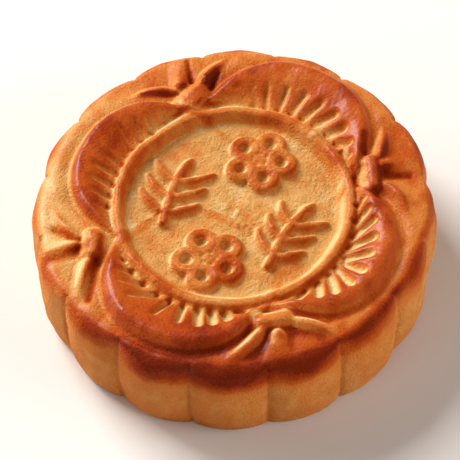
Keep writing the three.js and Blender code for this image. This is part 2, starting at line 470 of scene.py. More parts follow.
@dataclass(frozen=True)
class Blossom:
    """Looped petals round a small middle, in raised lines."""

    x: float
    y: float
    radius: float
    turn: float
    petals: int = 5

    def lines(self, half_width: float, rise: float) -> list[RaisedLine]:
        """The blossom's parts: an ellipse for each petal, and a dot in the middle.

        Args:
            half_width: Half the width of its strokes.
            rise: Their height.

        Returns:
            One raised line for each part.
        """
        middle = 0.6 * self.radius
        length, breadth = self.radius - middle - 0.65, 0.3 * self.radius
        turn = np.linspace(0.0, 2.0 * math.pi, 21)
        shapes = []
        for index in range(self.petals):
            bearing = self.turn + index * 360.0 / self.petals
            ahead, aside = np.array(polar(1.0, bearing)), np.array(polar(1.0, bearing + 90.0))
            along = (middle + length * np.cos(turn))[:, None] * ahead
            path = np.array([self.x, self.y]) + along + (breadth * np.sin(turn))[:, None] * aside
            shapes.append(RaisedLine.stroke(path, half_width, rise))
        dot = np.array([[self.x - 0.1, self.y], [self.x + 0.1, self.y]])
        return [*shapes, RaisedLine.stroke(dot, 1.25 * half_width, 0.95 * rise)]


@dataclass(frozen=True)
class Sprig:
    """A bent stem with pairs of leaves and one at its end, in raised lines.

    Attributes:
        x: Place of its middle.
        y: Place of its middle.
        length: Length of the stem with the leaf at its end.
        turn: Bearing of the stem.
        spread: How far the leaves reach to each side.
        stations: Where the pairs start, as shares of the length from the middle.
        tip_length: Length of the leaf at the end.
        lean: How far along the stem a leaf runs.
        bow: How far the stem bends, as a share of its length.
    """

    x: float
    y: float
    length: float
    turn: float
    spread: float
    stations: tuple[float, ...] = (-0.36, -0.12, 0.12)
    tip_length: float = 3.2
    lean: float = 3.1
    bow: float = 0.06

    def _place(self, along: float, across: float = 0.0) -> tuple[float, float]:
        """The plan point at a place along the bent stem.

        Args:
            along: Distance from the stem's middle.
            across: Distance from the stem, to its left.

        Returns:
            The point.
        """
        across = across + self.bow * self.length * math.cos(along / self.length * math.pi)
        (dx, dy), (ex, ey) = polar(along, self.turn), polar(across, self.turn + 90.0)
        return self.x + dx + ex, self.y + dy + ey

    def lines(self, half_width: float, rise: float) -> list[RaisedLine]:
        """The sprig's parts: the stem, the leaf at its end and the pairs.

        Args:
            half_width: Half the width of its strokes.
            rise: Their height.

        Returns:
            One raised line for each part.
        """
        place, half = self._place, self.length / 2.0
        stem_end = half - self.tip_length
        stem = bent((place(-half), place(0.0), place(stem_end)), 8)
        tip = bent((place(stem_end), place(half)), 6)
        shapes = [
            RaisedLine.stroke(stem, 0.85 * half_width, rise),
            RaisedLine.leaf(tip, 1.35 * half_width, rise, 0.35),
        ]
        for root in (station * self.length for station in self.stations):
            for side in (-1.0, 1.0):
                middle = place(root + 0.42 * self.lean, 0.62 * side * self.spread)
                end = place(root + self.lean, side * self.spread)
                path = bent((place(root, 0.35 * side), middle, end), 8)
                shapes.append(RaisedLine.leaf(path, 1.2 * half_width, rise, 0.5))
        return shapes


@dataclass(frozen=True)
class Patch:
    """A round place on the top: a chip, a bubble, or a wrinkled stretch."""

    x: float
    y: float
    radius: float
    amount: float

    def weight(self, at: Plan) -> Array:
        """Its amount at its middle, falling to 0 as a bell."""
        off_middle = (at.x - self.x) ** 2 + (at.y - self.y) ** 2
        return self.amount * np.exp(-off_middle / (0.72 * self.radius**2))


# Baking


@dataclass(frozen=True)
class Baking:
    """What the oven and the egg wash did: the maps that the crust's finish reads.

    Raised places are baked darker and are glossier, and hollows stay dull. Flanks that face
    the lights are painted paler (painted light), and flanks and hollows turned away from them
    are painted darker (painted shade). The bake_and_light map runs from 0, palest, to 1,
    darkest, and the amounts here are steps on it.
    """

    front: float = 305.0  # bearing of the darkest side: it browned most, and it faces away from the lights, so painted shade is added there too
    # Bearing the lights come from: flanks facing it are painted paler (painted light), flanks facing away
    # darker (painted shade).
    painted_light_from: float = 155.0
    petals_painted_shade_towards: float = 185.0
    comb_painted_light_towards: float = 200.0
    side_painted_light_towards: float = 15.0
    proud_reach: float = 1.7  # standing proud is measured against the mean this far around
    slope_reach: float = 0.3  # a flank's slope is read this far to both sides
    by_radius: Points = ((0.0, 0.25), (16.4, 0.26), (17.2, 0.42), (18.2, 0.4), (20.0, 0.38), (23.0, 0.51))
    by_height: Points = ((0.0, 0.38), (10.0, 0.36), (12.5, 0.42), (15.0, 0.64), (17.0, 0.88))
    # By bearing: partly uneven browning, partly painted light (paler towards the lights, near 200°) and
    # painted shade (darker on the front, near 300°).
    bake_and_light_by_bearing: Points = (
        (0.0, -0.05), (18.0, -0.04), (35.0, 0.1), (52.0, 0.1), (70.0, -0.04), (120.0, -0.02), (160.0, -0.12),
        (200.0, -0.3), (240.0, -0.22), (265.0, -0.02), (290.0, 0.2), (315.0, 0.18), (340.0, 0.02),
        (360.0, -0.05),
    )  # fmt: skip
    lit_flank_paleness: float = 0.38  # how much paler a flank is painted where it faces the lights: painted light
    petal: float = 0.12
    motif: float = 0.22
    proud: float = 0.1  # for each millimetre
    # Painted shadow along the carved recesses beside the knots.
    recess_shade: float = 0.42
    rim: tuple[float, float] = (-0.08, 0.5)  # what the shoulder adds at the back and at the front: browning, with painted shade on the front, which faces away from the lights
    edge_swing: float = 1.8  # how much lower the browning comes down on a lobe's crown, in mm
    edge_drop: float = 1.3  # how much lower it comes down at the front
    patches: Points = ((0.05, 9.0, 51), (0.035, 3.2, 52))

    def maps(
        self, cake: "Cake", at: Plan, z: Array, inset: Array, fade: Array, off_valley: Array
    ) -> dict[str, Array]:
        """Works out the maps. Standing proud is the height above the mean around.

        Args:
            cake: The cake, for its relief.
            at: Places in the mould.
            z: Heights.
            inset: Distance inside the crown radius.
            fade: 1 on the top, 0 on the side.
            off_valley: Share of the way from a valley of the flutes to a crown.

        Returns:
            Maps named bake_and_light (bake with painted light and shade), glaze and chip, from 0 to 1.
        """
        solid = np.stack([at.x, at.y, z], axis=-1)
        front = at.towards(self.front)
        outside = smooth_step(19.8, 22.5, at.radius)
        comb = cake.comb(at)
        knot = smooth_step(0.2, 1.0, cake.knot_height(at))
        petal = smooth_step(0.1, 1.1, cake.petal_lift(at) + Petal.groove_depth * comb)
        recess_shade = marked(cake.recesses, cake.recess_squareness, at)
        proud = cake.top_height(at) - mean_around(cake.top_height, at, self.proud_reach, 8)
        # Painted shade in hollows outside the ring, stronger on the front, partly pooled glaze.
        hollow_shade = smooth_step(0.05, 0.5, -proud) * outside * (1.0 - comb)
        proud = np.clip(proud, -1.0, 0.8)

        pooled_glaze_and_shade = sum(one.groove_light_and_shade(at, at.radius - cake.ring_foot) for one in cake.petals)
        pooled_glaze_and_shade = pooled_glaze_and_shade + hollow_shade * (0.08 + 0.3 * smooth_step(0.6, 0.95, front)) + self.recess_shade * recess_shade
        # Painted light on flanks that face the lights, and painted shade on flanks turned away from them.
        flank_light = self._flank_light_and_shade(cake, at, comb, knot, front)
        level = profile(cake.wall_radius(at), self.by_radius) + knot * (0.14 - 0.26 * front)
        level = level - (self.lit_flank_paleness + knot * (0.22 * front - 0.1)) * flank_light
        # Petals are browner; towards petals_painted_shade_towards they are also painted darker as shade,
        # where their slopes face away from the lights.
        level = level + petal * (self.petal + 0.1 * at.towards(self.petals_painted_shade_towards) ** 2)
        # Grooves painted paler towards comb_painted_light_towards: painted light on walls that face the
        # lights.
        level = level - 0.1 * comb * at.towards(self.comb_painted_light_towards)
        rim = (1.0 - smooth_step(1.2, 3.4, inset)) * smooth_step(14.0, 15.5, z)
        rim = rim * lerp(*self.rim, smooth_step(0.05, 0.5, front))
        raised = self.proud * proud + self.motif * cake.motif_height(at) / cake.stroke_rise
        around = self._bake_and_light_around(at, petal, knot)
        top = level + rim + raised + pooled_glaze_and_shade + around

        edge = z + self.edge_swing * (off_valley - 0.45) - self.edge_drop * (1.0 - front)
        side = profile(edge + 0.3 * waves(solid, 7.0, 54), self.by_height)
        # Painted shade on the front of the side, and painted light on the side towards
        # side_painted_light_towards.
        side = side + 0.06 * front - 0.05 * at.towards(self.side_painted_light_towards)
        side = side + np.maximum(around, 0.4 * around) * smooth_step(12.0, 15.0, z)
        bake_and_light = lerp(side, top, fade) + ripples(solid, self.patches) * lerp(0.45, 1.0, fade)

        shine = 0.12 + 0.3 * (outside + proud) + 0.25 * petal - 0.6 * recess_shade
        shine = shine + 0.2 * smooth_step(16.0, 17.5, z) + 0.08 * waves(solid, 4.0, 53)
        glaze = shine * smooth_step(15.2, 17.2, z)
        chip = cake.chip_weight(at) * fade
        return {"bake_and_light": np.clip(bake_and_light, 0.0, 1.0), "glaze": np.clip(glaze, 0.0, 1.0), "chip": chip}

    def _flank_light_and_shade(self, cake: "Cake", at: Plan, comb: Array, knot: Array, front: Array) -> Array:
        """Painted light and shade on the flanks: 1 where a flank faces the lights and is painted paler,
        below 0 where it faces away and is painted darker.

        A flank's slope is read along the lights' bearing. The ring's wall, its top and the
        knots' flanks get more and more painted shade, and the grooves' inner ends get no painted light.

        Args:
            cake: The cake, for its relief.
            at: Places in the mould.
            comb: The grooves' share of their full depth.
            knot: 1 on the knots.
            front: 1 towards the front.

        Returns:
            Shares: 1 where a flank is painted fully lit, and below 0 where it is painted in shade.
        """
        steps = -self.slope_reach, self.slope_reach
        before, after = (cake.carved_detail(at.shifted(step, self.painted_light_from)) for step in steps)
        facing = (before - after) / (2.0 * self.slope_reach)
        kept = 0.9 * comb * (1.0 - smooth_step(0.5, 2.0, at.radius - cake.ring_foot))
        flank_light = smooth_step(0.2 - 0.1 * knot, 1.2 - 0.5 * knot, facing) * (1.0 - kept)
        on_knots = knot * (1.3 - 1.1 * front)
        # How much painted shade each place gets on flanks turned away from the lights.
        lee_shade = np.where(at.radius < 19.0, 0.3, np.where(at.radius < 20.8, 0.8, on_knots))
        return flank_light - lee_shade * smooth_step(0.2 - 0.1 * knot, 1.2 - 0.4 * knot, -facing)

    def _bake_and_light_around(self, at: Plan, petal: Array, knot: Array) -> Array:
        """How much darker the outer half is on some sides, and paler off the petals on others: partly uneven
        browning, partly painted light and shade.

        Args:
            at: Places in the mould.
            petal: 1 on the petals.
            knot: 1 on the knots.

        Returns:
            Steps on the bake map.
        """
        around = profile(np.degrees(np.arctan2(at.y, at.x)) % 360.0, self.bake_and_light_by_bearing)
        around = around * smooth_step(19.0, 27.0, at.radius)
        return np.maximum(around, 0.0) * (1.0 - 0.7 * knot) + np.minimum(around, 0.0) * (1.0 - petal)


# The cake


@dataclass
class Skin:
    """A surface ready to become a mesh.

    Attributes:
        points: Its points in millimetres, one row each.
        faces: Its four-sided faces and its triangles, as rows of point numbers.
        maps: One number for each point, by the name that the finish reads.
    """

    points: Array
    faces: tuple[Array, Array]
    maps: dict[str, Array]

    def build(self, name: str, finish: bpy.types.Material) -> bpy.types.Object:
        """Makes the mesh object, smooth shaded, with its maps as point attributes.

        Args:
            name: The object's name.
            finish: Its material.

        Returns:
            The object, linked to the scene.
        """
        mesh = bpy.data.meshes.new(name)
        squares, triangles = self.faces
        mesh.from_pydata((self.points * MM).tolist(), [], [*squares.tolist(), *triangles.tolist()])
        mesh.shade_smooth()
        for key, values in self.maps.items():
            attribute = mesh.attributes.new(key, "FLOAT", "POINT")
            attribute.data.foreach_set("value", values.astype(np.float32))
        mesh.materials.append(finish)
        return add_object(name, mesh)


@dataclass
class Cake:
    """The whole cake: its relief and its skin.

    Attributes:
        crown_radius: Radius of a lobe's crown at the widest level.
        out_of_round: Longer along Y, and shorter along X, by this share.
        band_height: Level of the low band between the petals and the shoulder.
        ring_top: Radius of the ring's highest line.
        ring_foot: Radius of the ring's outer foot.
        steep_wall_towards: Bearing where the ring's inner wall is steepest.
        steeper_by: How much steeper it is there.
        softened_over: How far around the mean is taken that softens the baked edges.
        softened_by: The share of that mean in the baked height.
        level_from: Radius past which carved_detail takes the ground as level.
        level_height: Its height there.
        rings: Rows of the skin from the middle of the top to the foot of the side.
        top_rings: How many of those lie inside the shoulder.
        ring_section: Heights of the disc and the ring, by radius.
        ground_section: Heights of the ground behind the ring, in the same way.
        side_section: Inset, height and share of the flutes' depth, from the band down.
    """

    crown_radius: float = 33.0
    out_of_round: float = 0.01
    band_height: float = 17.3
    ring_top: float = 18.4
    ring_foot: float = 20.2
    steep_wall_towards: float = 165.0
    steeper_by: float = 0.6
    softened_over: float = 0.3
    softened_by: float = 0.65
    level_from: float = 18.0
    level_height: float = 16.8
    stroke_half_width: float = 1.15
    stroke_rise: float = 1.3
    recess_depth: float = 0.4
    recess_squareness: float = 1.1
    flake_squareness: float = 3.0
    rings: int = 154
    top_rings: int = 122
    flutes: Flutes = Flutes()
    baking: Baking = Baking()

    ring_section: Points = (
        (0.0, 15.75), (9.0, 15.72), (16.3, 15.7), (16.9, 15.87), (17.5, 16.5), (18.0, 17.25), (18.45, 17.75),
        (19.0, 17.88), (19.5, 17.65), (19.9, 17.05), (20.3, 16.2), (20.8, 15.0), (21.8, 13.0),
    )  # fmt: skip
    ground_section: Points = ((20.2, 16.6), (21.5, 16.85), (23.5, 17.2), (25.5, 17.3))
    side_section: Points = (
        (3.4, 17.3, 0.0), (2.2, 17.26, 0.1), (1.2, 16.85, 0.4), (0.55, 16.1, 0.75), (0.2, 14.6, 1.0),
        (0.0, 11.5, 1.0), (0.03, 8.0, 1.0), (0.22, 5.0, 0.97), (0.55, 2.6, 0.92), (0.95, 1.0, 0.85),
        (1.35, 0.25, 0.8), (1.8, 0.0, 0.8), (2.8, 0.0, 0.8),
    )  # fmt: skip

    petals: tuple[Petal, ...] = (
        Petal(
            0.0, 14.7, -1.0, 13.6, 1.8, (0.55, 0.55), (1.0, 0.9),
            (
                (17.9, 8.4, 18.5, 10.1, 0.6, 0.7, 0.7), (19.0, 5.6, 20.1, 8.3, 0.7, 0.85, 0.9),
                (20.0, 3.1, 21.9, 6.7, 0.7, 0.9, 1.0), (20.4, 1.1, 23.3, 3.7, 0.7, 1.0, 1.0),
                (21.0, -1.1, 24.3, 0.6, 0.75, 1.15, 1.0), (21.2, -2.1, 24.7, -2.9, 0.6, 1.2, 0.95),
                (20.4, -3.4, 24.1, -5.8, 0.75, 1.15, 1.0), (20.2, -5.3, 22.6, -8.3, 0.8, 1.2, 1.0),
                (19.2, -7.4, 20.6, -9.9, 0.8, 1.15, 1.0), (17.9, -9.6, 17.9, -11.7, 0.8, 1.05, 0.9),
            ),
        ),
        Petal(
            90.0, 15.5, -0.5, 14.3, 1.2, (0.25, 0.1), (1.0, 0.5),
            (
                (-8.6, 19.3, -9.9, 20.9, 0.8, 0.9, 0.2), (-6.6, 19.7, -8.2, 22.3, 0.8, 0.9, 0.3),
                (-4.7, 20.0, -6.0, 23.0, 0.7, 0.85, 0.75), (-2.5, 20.5, -2.9, 24.0, 0.7, 0.95, 1.0),
                (-0.2, 20.7, 0.2, 24.2, 0.75, 1.1, 1.0), (1.9, 20.6, 3.4, 23.9, 0.75, 1.05, 1.0),
                (4.2, 20.3, 6.6, 22.9, 0.75, 1.1, 1.0), (7.0, 19.5, 9.1, 21.1, 0.8, 1.15, 1.0),
                (9.2, 18.4, 11.2, 19.0, 0.8, 1.0, 0.9), (10.9, 17.2, 12.3, 16.9, 0.7, 0.8, 0.7),
            ),
        ),
        Petal(
            180.0, 14.2, 0.0, 13.4, 0.9, (0.12, 0.12), (0.5, 0.6),
            (
                (-17.9, 9.6, -18.8, 10.6, 0.6, 0.6, 0.3), (-18.9, 7.0, -20.7, 8.4, 0.8, 0.7, 0.85),
                (-19.8, 4.8, -22.3, 6.9, 0.85, 0.7, 0.9), (-20.1, 2.6, -23.8, 4.8, 0.85, 0.7, 0.9),
                (-20.2, 0.9, -22.6, 1.9, 0.5, 0.6, 0.4), (-20.1, -1.0, -23.6, -1.0, 0.8, 0.75, 0.9),
                (-19.9, -3.1, -23.8, -3.5, 0.8, 0.75, 0.95), (-19.4, -5.2, -22.8, -5.8, 0.8, 0.75, 0.95),
                (-18.8, -7.3, -21.6, -8.1, 0.8, 0.7, 0.9), (-17.9, -9.3, -19.7, -10.3, 0.75, 0.65, 0.7),
            ),
        ),
        Petal(
            270.0, 15.4, 0.4, 13.6, 1.3, (0.05, 0.6), (0.3, 1.2),
            (
                (-10.4, -17.2, -11.2, -18.2, 0.7, 0.7, 0.5), (-8.3, -18.5, -10.2, -19.9, 0.95, 0.6, 0.85),
                (-5.6, -19.7, -8.8, -21.7, 1.0, 0.6, 0.9), (-2.8, -20.6, -6.3, -23.3, 1.0, 0.7, 0.9),
                (-0.4, -20.6, -1.1, -24.3, 0.75, 1.0, 1.0), (1.9, -20.5, 2.9, -24.0, 0.75, 1.05, 1.0),
                (4.2, -20.0, 6.0, -23.1, 0.8, 1.15, 1.0), (6.2, -19.4, 7.9, -21.7, 0.8, 1.15, 1.0),
                (8.1, -18.7, 9.6, -19.9, 0.8, 1.1, 1.0), (10.0, -17.7, 11.3, -17.6, 0.7, 0.9, 0.8),
            ),
        ),
    )  # fmt: skip
    knots: tuple[Knot, ...] = (
        Knot(
            ((16.3, 16.9), (18.7, 13.0)), 2.3, ((18.3, 17.3), (20.4, 19.9)),
            (((17.0, 17.6), (16.4, 21.2), (14.6, 25.2)), ((20.4, 14.1), (23.4, 13.0), (27.0, 9.6))),
        ),
        Knot(
            ((-15.5, 16.6), (-16.2, 14.2)), 3.3, ((-19.3, 17.3), (-21.6, 21.7)),
            (((-16.0, 18.2), (-16.1, 21.6), (-15.0, 25.7)), ((-19.4, 15.2), (-22.4, 13.9), (-25.8, 10.8))),
        ),
        Knot(
            ((-17.0, -15.9), (-15.8, -18.6)), 2.5, ((-18.9, -18.6), (-22.3, -21.7)),
            (
                ((-15.3, -19.6), (-14.9, -23.0), (-13.1, -27.2)),
                ((-19.1, -17.2), (-22.1, -16.3), (-25.5, -13.8)),
            ),
        ),
        Knot(
            ((14.7, -18.2), (17.6, -15.9)), 2.4, ((18.1, -19.0), (19.6, -22.4)),
            (((15.5, -19.2), (14.9, -22.6), (12.9, -27.0)), ((18.6, -15.9), (22.0, -15.0), (26.0, -14.2))),
        ),
    )  # fmt: skip
    blossoms: tuple[Blossom, ...] = (Blossom(-0.5, 10.2, 5.9, 90.0), Blossom(1.2, -10.6, 6.0, -78.0))
    sprigs: tuple[Sprig, ...] = (Sprig(-9.9, -0.9, 13.2, 98.0, 4.9), Sprig(10.6, -0.4, 13.8, 86.0, 4.2))

    # Carved recesses beside the knots; the baking also paints shadow along them.
    recesses: Points = (
        (-22.0, -22.9, -17.2, -18.4, 1.7), (-14.1, -19.7, -11.9, -26.5, 1.1),
        (-23.4, -17.2, -19.1, -17.7, 1.1), (19.4, 16.2, 22.6, 18.0, 1.3), (19.3, 12.3, 20.3, 11.4, 0.9),
        (13.8, 15.0, 16.1, 12.3, 0.8), (12.9, 21.3, 14.4, 18.2, 0.9), (-15.0, 22.4, -14.4, 18.8, 0.8),
        (-24.0, 12.7, -19.9, 14.5, 0.6), (-20.8, 22.3, -18.1, 18.8, 0.8),
    )  # fmt: skip
    flakes: Points = (
        (5.0, 17.6, 5.2, 18.6, 0.6), (11.3, 17.9, 11.9, 16.7, 0.5), (-15.9, 19.0, -16.4, 20.2, 0.5),
    )  # fmt: skip
    wrinkles: tuple[Patch, ...] = (
        Patch(3.0, -1.5, 3.6, 0.16), Patch(8.6, 10.0, 2.6, 0.12), Patch(-13.0, -8.0, 2.5, 0.08),
    )  # fmt: skip
    bubbles: tuple[Patch, ...] = (
        Patch(-10.4, 20.4, 0.45, -0.35), Patch(-8.0, 22.4, 0.35, -0.2), Patch(-7.3, 19.4, 0.4, 0.25),
    )  # fmt: skip
    chips: tuple[Patch, ...] = (
        Patch(15.1, 16.4, 0.9, 0.25), Patch(16.1, 14.6, 1.0, 0.35), Patch(17.2, 12.8, 1.0, 0.35),
        Patch(5.1, 18.2, 1.1, 0.55), Patch(7.4, 17.6, 1.3, 0.45), Patch(9.4, 17.4, 1.2, 0.4),
        Patch(11.5, 17.4, 0.9, 0.7), Patch(16.6, 14.6, 1.3, 0.5), Patch(15.2, 16.6, 1.1, 0.5),
        Patch(17.6, 12.6, 1.0, 0.5), Patch(15.0, 20.4, 0.9, 0.35), Patch(17.5, 9.6, 0.9, 0.6),
    )  # fmt: skip

    # Waves, each with its height, wavelength and seed.
    swelling: Points = ((0.07, 11.0, 31), (0.05, 5.0, 32))
    grain: Points = ((0.015, 2.3, 33), (0.011, 0.9, 34))
    disc_grain: Points = ((0.03, 2.3, 33), (0.012, 0.9, 34))
    chip_grain: Points = ((0.03, 0.8, 36), (0.05, 1.7, 37))
    bulges: Points = ((0.1, 14.0, 41), (0.06, 6.0, 42), (0.03, 2.6, 43))

    def top_height(self, at: Plan) -> Array:
        """Height of the moulded top, as if it had no shoulder.

        Heights by radius make the disc and the ring, the petals and the knots' parts stand
        behind it, and the highest counts, softly joined. Recesses are sunk into that, and
        the motifs stand on the disc.

        Args:
            at: Places in the mould.

        Returns:
            Heights above the table.
        """
        ring = profile(self.wall_radius(at) + 0.1 * waves(at.rows, 9.0, 21), self.ring_section)
        lift, raised = self.petal_lift(at), self.knot_height(at)
        both = np.maximum(lift, joined([np.maximum(lift, 0.0), raised]))
        outer = profile(at.radius, self.ground_section) + np.where(raised > 0.0, both, lift)
        outer = outer - 3.0 * np.maximum(self.ring_foot - 0.5 - at.radius, 0.0)
        sunk = self.recess_depth * marked(self.recesses, self.recess_squareness, at)
        return soft_max(ring, outer, 0.3) - sunk + self.motif_height(at)

    def wall_radius(self, at: Plan) -> Array:
        """Where to read the ring's section: its inner wall is steeper on one side."""
        steeper = 1.0 + self.steeper_by * smooth_step(0.0, 0.8, at.towards(self.steep_wall_towards))
        return at.radius - np.maximum(self.ring_top - at.radius, 0.0) * (steeper - 1.0)

    def petal_lift(self, at: Plan) -> Array:
        """How high the petals stand above the ground.

        Args:
            at: Places in the mould.

        Returns:
            Heights, below 0 in a groove's end.
        """
        ground = profile(at.radius, self.ground_section)
        outer = ground
        for petal in self.petals:
            outer = petal.laid_on(outer, at, self.ring_foot)
        return outer - ground

    def comb(self, at: Plan) -> Array:
        """The petals' grooves, as shares of their full depth."""
        return sum(petal.comb(at) for petal in self.petals)

    def knot_height(self, at: Plan) -> Array:
        """How high the knots' parts stand above the ground."""
        return joined([line.height(at) for knot in self.knots for line in knot.lines()])

    def motif_height(self, at: Plan) -> Array:
        """How high the blossoms and sprigs stand above the disc.

        Args:
            at: Places in the mould.

        Returns:
            Heights, 0 away from them.
        """
        stroke = self.stroke_half_width, self.stroke_rise
        lines = [line for motif in (*self.blossoms, *self.sprigs) for line in motif.lines(*stroke)]
        return joined([line.height(at) for line in lines])

    def carved_detail(self, at: Plan) -> Array:
        """Height of the ring, knots, motifs and grooves, with the petals less high.

        Args:
            at: Places in the mould.

        Returns:
            Heights, with the ground outside the ring level.
        """
        level = np.where(at.radius > self.level_from, self.level_height, 0.0)
        ring = np.maximum(profile(self.wall_radius(at), self.ring_section), level)
        grooves = Petal.groove_depth * self.comb(at)
        rolls = 0.6 * np.maximum(self.petal_lift(at) + grooves, 0.0)
        return ring + rolls - grooves + self.knot_height(at) + self.motif_height(at)

    def chip_weight(self, at: Plan) -> Array:
        """Where the glaze has flaked: 1 at a chip's middle, 0 away from them all."""
        chipped = sum(chip.weight(at) for chip in self.chips)
        return np.clip(chipped + 0.35 * marked(self.flakes, self.flake_squareness, at), 0.0, 1.0)

    def unevenness(self, at: Plan) -> Array:
        """What baking did to the top: swelling, grain, wrinkles, bubbles, chips and flakes.

        Args:
            at: Places in the mould.

        Returns:
            Heights to add to the mould's.
        """
        place = at.rows
        on_disc = 1.0 - smooth_step(15.0, 17.5, at.radius)
        grain = ripples(place, self.grain) + on_disc * ripples(place, self.disc_grain)
        crinkle = np.abs(waves(place, 1.9, 35)) - 0.8
        wrinkle = sum(patch.weight(at) for patch in self.wrinkles) * crinkle
        bubble = sum(patch.weight(at) for patch in self.bubbles)
        chip = self.chip_weight(at) * (ripples(place, self.chip_grain) - 0.03)
        flake = 0.12 * marked(self.flakes, self.flake_squareness, at)
        return ripples(place, self.swelling) + grain + wrinkle + bubble + chip + flake

    def baked_height(self, at: Plan) -> Array:
        """The top after baking: its edges softened by a mean close around, and uneven."""
        around = mean_around(self.top_height, at, self.softened_over, 6)
        return lerp(self.top_height(at), around, self.softened_by) + self.unevenness(at)

    def _outline(self) -> Array:
        """Inset, height and share of the flutes' depth for each row of the skin.

        The top's rows are level circles. The shoulder's and side's rows follow the section
        by its length, closest together at the shoulder.

        Returns:
            Three rows of numbers.
        """
        section = np.array(self.side_section).T
        length = np.concatenate([[0.0], np.cumsum(np.hypot(*np.diff(section[:2])))])
        side_rows = self.rings - self.top_rings
        along = length[-1] * (np.arange(1, side_rows + 1) / side_rows) ** 1.25
        top = np.linspace((self.crown_radius, self.band_height, 0.0), section[:, 0], self.top_rings + 1)
        side = [profile(along, tuple(zip(length, values))) for values in section]
        return np.concatenate([top.T, side], axis=1)

    def skin(self) -> Skin:
        """The cake's whole surface, as a square grid drawn round into a disc.

        A grid point's row is the larger of its distances from the middle along the two
        sides, and its bearing runs evenly round the square's edge, so there is no pole on
        the top. Each row's radius and height come from the outline, the top's relief is
        added to the height, and the last row is closed by one point under the cake.

        Returns:
            The surface's points, faces and finish maps.
        """
        span = np.arange(-self.rings, self.rings + 1)
        a, b = (values.ravel() for values in np.meshgrid(span, span))
        wide = np.abs(a) >= np.abs(b)
        row = np.maximum(np.abs(a), np.abs(b))
        longer, shorter = np.where(wide, a, b), np.where(wide, b, a)
        eighth = 45.0 * shorter / np.where(row == 0, 1, longer)
        bearing = np.where(wide, eighth, 90.0 - eighth) + np.where(longer < 0, 180.0, 0.0)
        inset, height, share = self._outline()[:, row]
        radius = self.crown_radius - inset - self.flutes.depth_at(bearing, share)
        turn = np.radians(bearing)
        solid = np.stack([radius * np.cos(turn), radius * np.sin(turn), height], axis=-1)
        on_side = smooth_step(0.0, 1.0, share) * smooth_step(0.0, 1.5, height)
        radius = radius + on_side * ripples(solid, self.bulges)
        at = Plan(radius * np.cos(turn), radius * np.sin(turn))
        fade = smooth_step(0.5, 2.0, inset) * smooth_step(14.0, 15.5, height)
        z = height + (self.baked_height(at) - self.band_height) * fade
        off_valley = self.flutes.off_valley(bearing) * self.flutes.count / 180.0
        maps = self.baking.maps(self, at, z, inset, fade, off_valley)
        points = np.stack([at.x * (1.0 - self.out_of_round), at.y * (1.0 + self.out_of_round), z], axis=-1)
        points = np.concatenate([points, [[0.0, 0.0, 0.0]]])
        return Skin(points, self._faces(), {name: np.append(values, 0.0) for name, values in maps.items()})

    def _faces(self) -> tuple[Array, Array]:
        """Joins the grid's points, and closes it underneath.

        Returns:
            The four-sided faces, and the triangles round the last point.
        """
        side = 2 * self.rings + 1
        index = np.arange(side * side).reshape(side, side)
        corners = (index[:-1, :-1], index[:-1, 1:], index[1:, 1:], index[1:, :-1])
        squares = np.stack([corner.ravel() for corner in corners], axis=-1)
        edge = np.concatenate([index[0, :-1], index[:-1, -1], index[-1, :0:-1], index[:0:-1, 0]])
        pole = np.full_like(edge, side * side)
        return squares, np.stack([pole, np.roll(edge, -1), edge], axis=-1)


# Finishes


class Operation(Enum):
    """What a Math node does with its terms."""

    ADD = "ADD"
    SUBTRACT = "SUBTRACT"
    MULTIPLY = "MULTIPLY"


@dataclass(frozen=True)
class Signal:
    """A shader socket that can be reckoned with."""

    graph: "Graph"
    socket: bpy.types.NodeSocket

    def _math(self, operation: Operation, *terms: "Signal | float") -> "Signal":
        """A Math node over terms."""
        return self.graph.node("ShaderNodeMath", {"operation": operation.value}, dict(enumerate(terms)))

    def __add__(self, other: "Signal | float") -> "Signal":
        """Sum."""
        return self._math(Operation.ADD, self, other)

    def __radd__(self, other: float) -> "Signal":
        """Sum."""
        return self._math(Operation.ADD, other, self)

    def __sub__(self, other: "Signal | float") -> "Signal":
        """Difference."""
        return self._math(Operation.SUBTRACT, self, other)

    def __rsub__(self, other: float) -> "Signal":
        """Difference."""
        return self._math(Operation.SUBTRACT, other, self)

    def __mul__(self, other: "Signal | float") -> "Signal":
        """Product."""
        return self._math(Operation.MULTIPLY, self, other)

    def __rmul__(self, other: float) -> "Signal":
        """Product."""
        return self._math(Operation.MULTIPLY, other, self)

    def clipped(self, low: float, high: float) -> "Signal":
        """Held between low and high."""
        return self.graph.node("ShaderNodeClamp", {}, {"Value": self, "Min": low, "Max": high})

    def ramp(self, low: float, high: float) -> "Signal":
        """A smooth step from 0 at low to 1 at high."""
        limits = {"Value": self, "From Min": low, "From Max": high}
        return self.graph.node("ShaderNodeMapRange", {"interpolation_type": "SMOOTHSTEP"}, limits)


